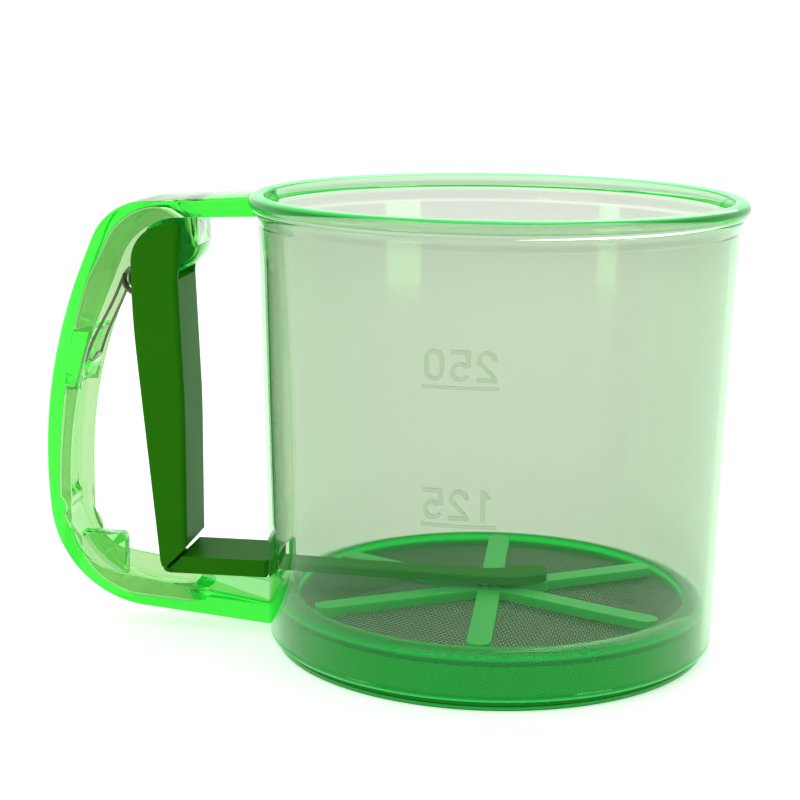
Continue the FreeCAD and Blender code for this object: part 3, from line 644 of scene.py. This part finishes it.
def build_base_ring():
    """See-through ring with an upstanding lip, moulded round the mesh's rim, and the foot below it."""
    lip = arc_points((RING_MOUTH_R + LIP_EDGE_R, RING_LIP_Z - LIP_EDGE_R), LIP_EDGE_R, 90, 180, 5)
    foot = arc_points((FOOT_R - FOOT_EDGE_R, FOOT_EDGE_R), FOOT_EDGE_R, -90, 0, 5)
    profile = [(FOOT_INNER_R + FOOT_BEVEL, 0.0)] + foot
    profile += [(FOOT_R, WALL_LOW - FOOT_GAP), (RING_SIDE_R, WALL_LOW - FOOT_GAP)]
    profile += [(RING_SIDE_R, RING_SHOULDER_Z - RING_EDGE), (RING_SIDE_R - RING_EDGE, RING_SHOULDER_Z)]
    profile += lip + [(RING_MOUTH_R, mesh_low.z), (FOOT_INNER_R, FOOT_BEVEL)]
    ring = lathe("clear_base_ring", profile, RING_CLEAR)
    ring.data.set_sharp_from_angle(angle=math.radians(RING_SHARP_DEG))
    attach(ring, "root")
    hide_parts("base_ring")


# ---- woven mesh ---------------------------------------------------------------------------------

MESH_PITCH = 0.82
MESH_HELD = 0.3
WIRE_R = 0.14
WEAVE_LIFT = WIRE_R * 0.95
WEAVE_DEG = 16.0


def build_mesh_screen():
    """Plain-woven wires, over one and under the next, with their ends held in the ring."""
    radius = mesh_high.x + MESH_HELD
    middle = (mesh_low.z + mesh_high.z) / 2
    turn = math.radians(WEAVE_DEG)
    count = int(radius / MESH_PITCH)
    vertices = []
    faces = []
    for family in (0, 1):
        for wire in range(-count, count + 1):
            offset = wire * MESH_PITCH
            half_steps = int(math.sqrt(radius * radius - offset * offset) / MESH_PITCH)
            first = len(vertices)
            for step in range(-half_steps, half_steps + 1):
                along = step * MESH_PITCH
                up = WEAVE_LIFT if (step + wire + family) % 2 else -WEAVE_LIFT
                for across, rise in ((WIRE_R, 0), (0, WIRE_R), (-WIRE_R, 0), (0, -WIRE_R)):
                    a, b = (along, offset + across) if family else (offset + across, along)
                    vertices.append((a * math.cos(turn) - b * math.sin(turn),
                                     a * math.sin(turn) + b * math.cos(turn), middle + up + rise))
            for step in range(2 * half_steps):
                low = first + 4 * step
                for side in range(4):
                    ahead = (side + 1) % 4
                    faces.append((low + side, low + ahead, low + 4 + ahead, low + 4 + side))
    screen = add_piece("woven_mesh", vertices, faces, MESH_STEEL)
    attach(screen, "root")
    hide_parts("mesh_screen")


# ---- return spring ------------------------------------------------------------------------------

SPRING_WIRE_R = 0.32
COIL_CENTRE = (-77.7, 76.9)
COIL_R = 3.1
COIL_TURNS = 3.6
COIL_PITCH = 0.66
COIL_OUTER_Y = 3.4
COIL_LEAVE_DEG = 205.0
COIL_STEPS = 90
SHORT_LEG_END = (-69.9, 1.4, 64.0)
SEAT_Z = 59.0
LEG_HALF_SPAN = 6.0
LEG_WAVE = 0.25
LEG_STEPS = 24
CROSS_WAVE = 0.45
CROSS_DROP = 0.1
CROSS_CORNER = 0.3
CROSS_STEPS = 8


def spring_half(side, seat_x):
    """One coil group and its two legs, from the trigger's end to the seat's end."""
    short_x, short_y, short_z = SHORT_LEG_END
    points = [(short_x, side * short_y, short_z)]
    for step in range(COIL_STEPS + 1):
        left = COIL_TURNS * (1 - step / COIL_STEPS)
        turn = math.radians(COIL_LEAVE_DEG - 360.0 * left)
        points.append((COIL_CENTRE[0] + COIL_R * math.cos(turn), side * (COIL_OUTER_Y - COIL_PITCH * left),
                       COIL_CENTRE[1] - COIL_R * math.sin(turn)))
    start = Vector(points[-1])
    end = Vector((seat_x, side * LEG_HALF_SPAN, SEAT_Z))
    for step in range(1, LEG_STEPS + 1):
        share = step / LEG_STEPS
        place = start.lerp(end, share)
        place.x += LEG_WAVE * math.sin(share * math.pi * 2)
        points.append(tuple(place))
    return points


def build_spring():
    """Two groups of coils and one wide looped leg, as one wire."""
    seat_x = spring_low.x + SPRING_WIRE_R
    cross = []
    for step in range(2 * CROSS_STEPS + 1):
        y = (LEG_HALF_SPAN - CROSS_CORNER) * (step / CROSS_STEPS - 1)
        wave = CROSS_WAVE * math.sin(math.pi * (1 - abs(y) / LEG_HALF_SPAN) * 1.5)
        cross.append((seat_x, y, SEAT_Z - CROSS_DROP + wave))
    wire = spring_half(-1, seat_x) + cross + spring_half(1, seat_x)[::-1]
    spring = tube("torsion_spring", wire, SPRING_WIRE_R, SPRING_STEEL, 8)
    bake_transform(spring)
    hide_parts("return_spring")


# ---- living hinge -------------------------------------------------------------------------------

HINGE_THICKNESS = 0.8
HINGE_BEND_R = 1.1
HINGE_LAP = 0.6
HINGE_SHARP_DEG = 40.0


def build_living_hinge():
    """Thin folding corner between the trigger and the drive arm."""
    width = (hinge_high.y - hinge_low.y) / 2
    centre = (hinge_low.x + HINGE_BEND_R, hinge_low.z + HINGE_BEND_R)
    top = hinge_high.z + HINGE_LAP
    end = hinge_high.x + HINGE_LAP
    outer = [(hinge_low.x, top)] + arc_points(centre, HINGE_BEND_R, 180, 270, 10) + [(end, hinge_low.z)]
    inner = [(hinge_low.x + HINGE_THICKNESS, top)]
    inner += arc_points(centre, HINGE_BEND_R - HINGE_THICKNESS, 180, 270, 10)
    inner += [(end, hinge_low.z + HINGE_THICKNESS)]
    count = len(outer)
    vertices = []
    for y in (-width, width):
        vertices += [(x, y, z) for x, z in outer] + [(x, y, z) for x, z in inner]
    faces = []
    for i in range(count - 1):
        faces.append((i, i + 1, 2 * count + i + 1, 2 * count + i))
        faces.append((count + i + 1, count + i, 3 * count + i, 3 * count + i + 1))
        faces.append((i + 1, i, count + i, count + i + 1))
        faces.append((2 * count + i, 2 * count + i + 1, 3 * count + i + 1, 3 * count + i))
    faces.append((0, 2 * count, 3 * count, count))
    faces.append((count - 1, 2 * count - 1, 4 * count - 1, 3 * count - 1))
    fold = add_piece("folding_corner", vertices, faces, DARK_GREEN)
    fold.data.set_sharp_from_angle(angle=math.radians(HINGE_SHARP_DEG))
    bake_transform(fold)
    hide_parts("living_hinge")


# ---- stage --------------------------------------------------------------------------------------

def plain_material(name, color, strength=0.0):
    """Matt surface that also gives off light of its own."""
    material, tree, output = new_material(name)
    shader = tree.nodes.new("ShaderNodeBsdfPrincipled")
    shader.inputs["Base Color"].default_value = color
    shader.inputs["Roughness"].default_value = 0.9
    shader.inputs["Emission Color"].default_value = color
    shader.inputs["Emission Strength"].default_value = strength
    tree.links.new(shader.outputs["BSDF"], output.inputs["Surface"])
    return material


FRONT_OF_ROOM = 0.25
BACK_OF_ROOM = 1.03
FLOOR_REACH = 3000.0
FLOOR_COLOR = (0.8, 0.8, 0.8, 1)
FLOOR_LIGHT = 0.65


def build_stage():
    """Pale floor in a white room that is darker in front of the cup than behind it."""
    reach = FLOOR_REACH
    corners = [(-reach, -reach, 0), (reach, -reach, 0), (reach, reach, 0), (-reach, reach, 0)]
    white = plain_material("floor_white", FLOOR_COLOR, FLOOR_LIGHT)
    floor = add_piece("floor", corners, [(0, 1, 2, 3)], white)
    world = bpy.data.worlds.new("studio")
    bpy.context.scene.world = world
    world.use_nodes = True
    tree = world.node_tree
    background = tree.nodes["Background"]
    background.inputs["Color"].default_value = (1, 1, 1, 1)
    place = tree.nodes.new("ShaderNodeTexCoord")
    parts = tree.nodes.new("ShaderNodeSeparateXYZ")
    fade = tree.nodes.new("ShaderNodeMapRange")
    fade.inputs["From Min"].default_value = -0.7
    fade.inputs["From Max"].default_value = 0.3
    fade.inputs["To Min"].default_value = FRONT_OF_ROOM
    fade.inputs["To Max"].default_value = BACK_OF_ROOM
    tree.links.new(place.outputs["Generated"], parts.inputs["Vector"])
    tree.links.new(parts.outputs["Y"], fade.inputs["Value"])
    tree.links.new(fade.outputs["Result"], background.inputs["Strength"])
    bpy.context.scene.view_settings.view_transform = "Standard"


def area_light(name, place, target, size, power):
    """Soft rectangular lamp aimed at a point."""
    lamp = bpy.data.lights.new(name, "AREA")
    lamp.shape = "RECTANGLE"
    lamp.size = size[0] * MM
    lamp.size_y = size[1] * MM
    lamp.energy = power
    light = bpy.data.objects.new(name, lamp)
    bpy.context.scene.collection.objects.link(light)
    light.location = mm(*place)
    aim = mm(*target) - light.location
    light.rotation_euler = aim.to_track_quat("-Z", "Y").to_euler()


def build_lights():
    """Large soft lamp over the left shoulder, a smaller one behind, and a low one at each side."""
    area_light("key", (-350, -500, 700), (0, 0, 50), (500, 500), 2.0)
    area_light("rear", (150, 550, 450), (0, 0, 60), (350, 350), 1.2)
    area_light("right", (610, -380, 35), (0, 0, 85), (260, 120), 0.8)
    area_light("left", (-645, -357, 35), (0, 0, 85), (260, 120), 0.7)


# ---- camera -------------------------------------------------------------------------------------

CAMERA_PLACE = (36.6, -397.1, 136.1)
CAMERA_PAN_DEG = -8.17
CAMERA_TILT_DEG = 11.83
CAMERA_ROLL_DEG = 0.62
CAMERA_LENS = 85.2


def build_camera():
    """Camera in front of the cup, a little above its rim."""
    pan = math.radians(CAMERA_PAN_DEG)
    tilt = math.radians(CAMERA_TILT_DEG)
    roll = math.radians(CAMERA_ROLL_DEG)
    ahead = Vector((math.sin(pan) * math.cos(tilt), math.cos(pan) * math.cos(tilt), -math.sin(tilt)))
    level = Vector((math.cos(pan), -math.sin(pan), 0.0))
    up = level.cross(ahead)
    right = math.cos(roll) * level + math.sin(roll) * up
    top = -math.sin(roll) * level + math.cos(roll) * up
    data = bpy.data.cameras.new("camera")
    data.lens = CAMERA_LENS
    data.sensor_width = 36.0
    data.clip_start = 0.01
    camera = bpy.data.objects.new("camera", data)
    bpy.context.scene.collection.objects.link(camera)
    rotation = camera.matrix_world.to_3x3()
    rotation.col[0] = right
    rotation.col[1] = top
    rotation.col[2] = -ahead
    camera.matrix_world = rotation.to_4x4()
    camera.location = mm(*CAMERA_PLACE)
    bpy.context.scene.camera = camera


# ---- build --------------------------------------------------------------------------------------

build_cup()
build_base_ring()
build_mesh_screen()
build_spring()
build_living_hinge()
build_grip()
paint("volume_marks", MARK_GREEN, 0.1)
paint("star_agitator", MINT_GREEN, 0.55)
paint("trigger_lever", DARK_GREEN, 0.15)
paint("spring_post", DARK_GREEN)
paint("drive_arm", DARK_GREEN, 0.2)
paint("drive_peg", DARK_GREEN)
paint("pivot_rivet", RIVET_STEEL)
paint("rivet_washer", RIVET_STEEL)
build_stage()
build_lights()
build_camera()
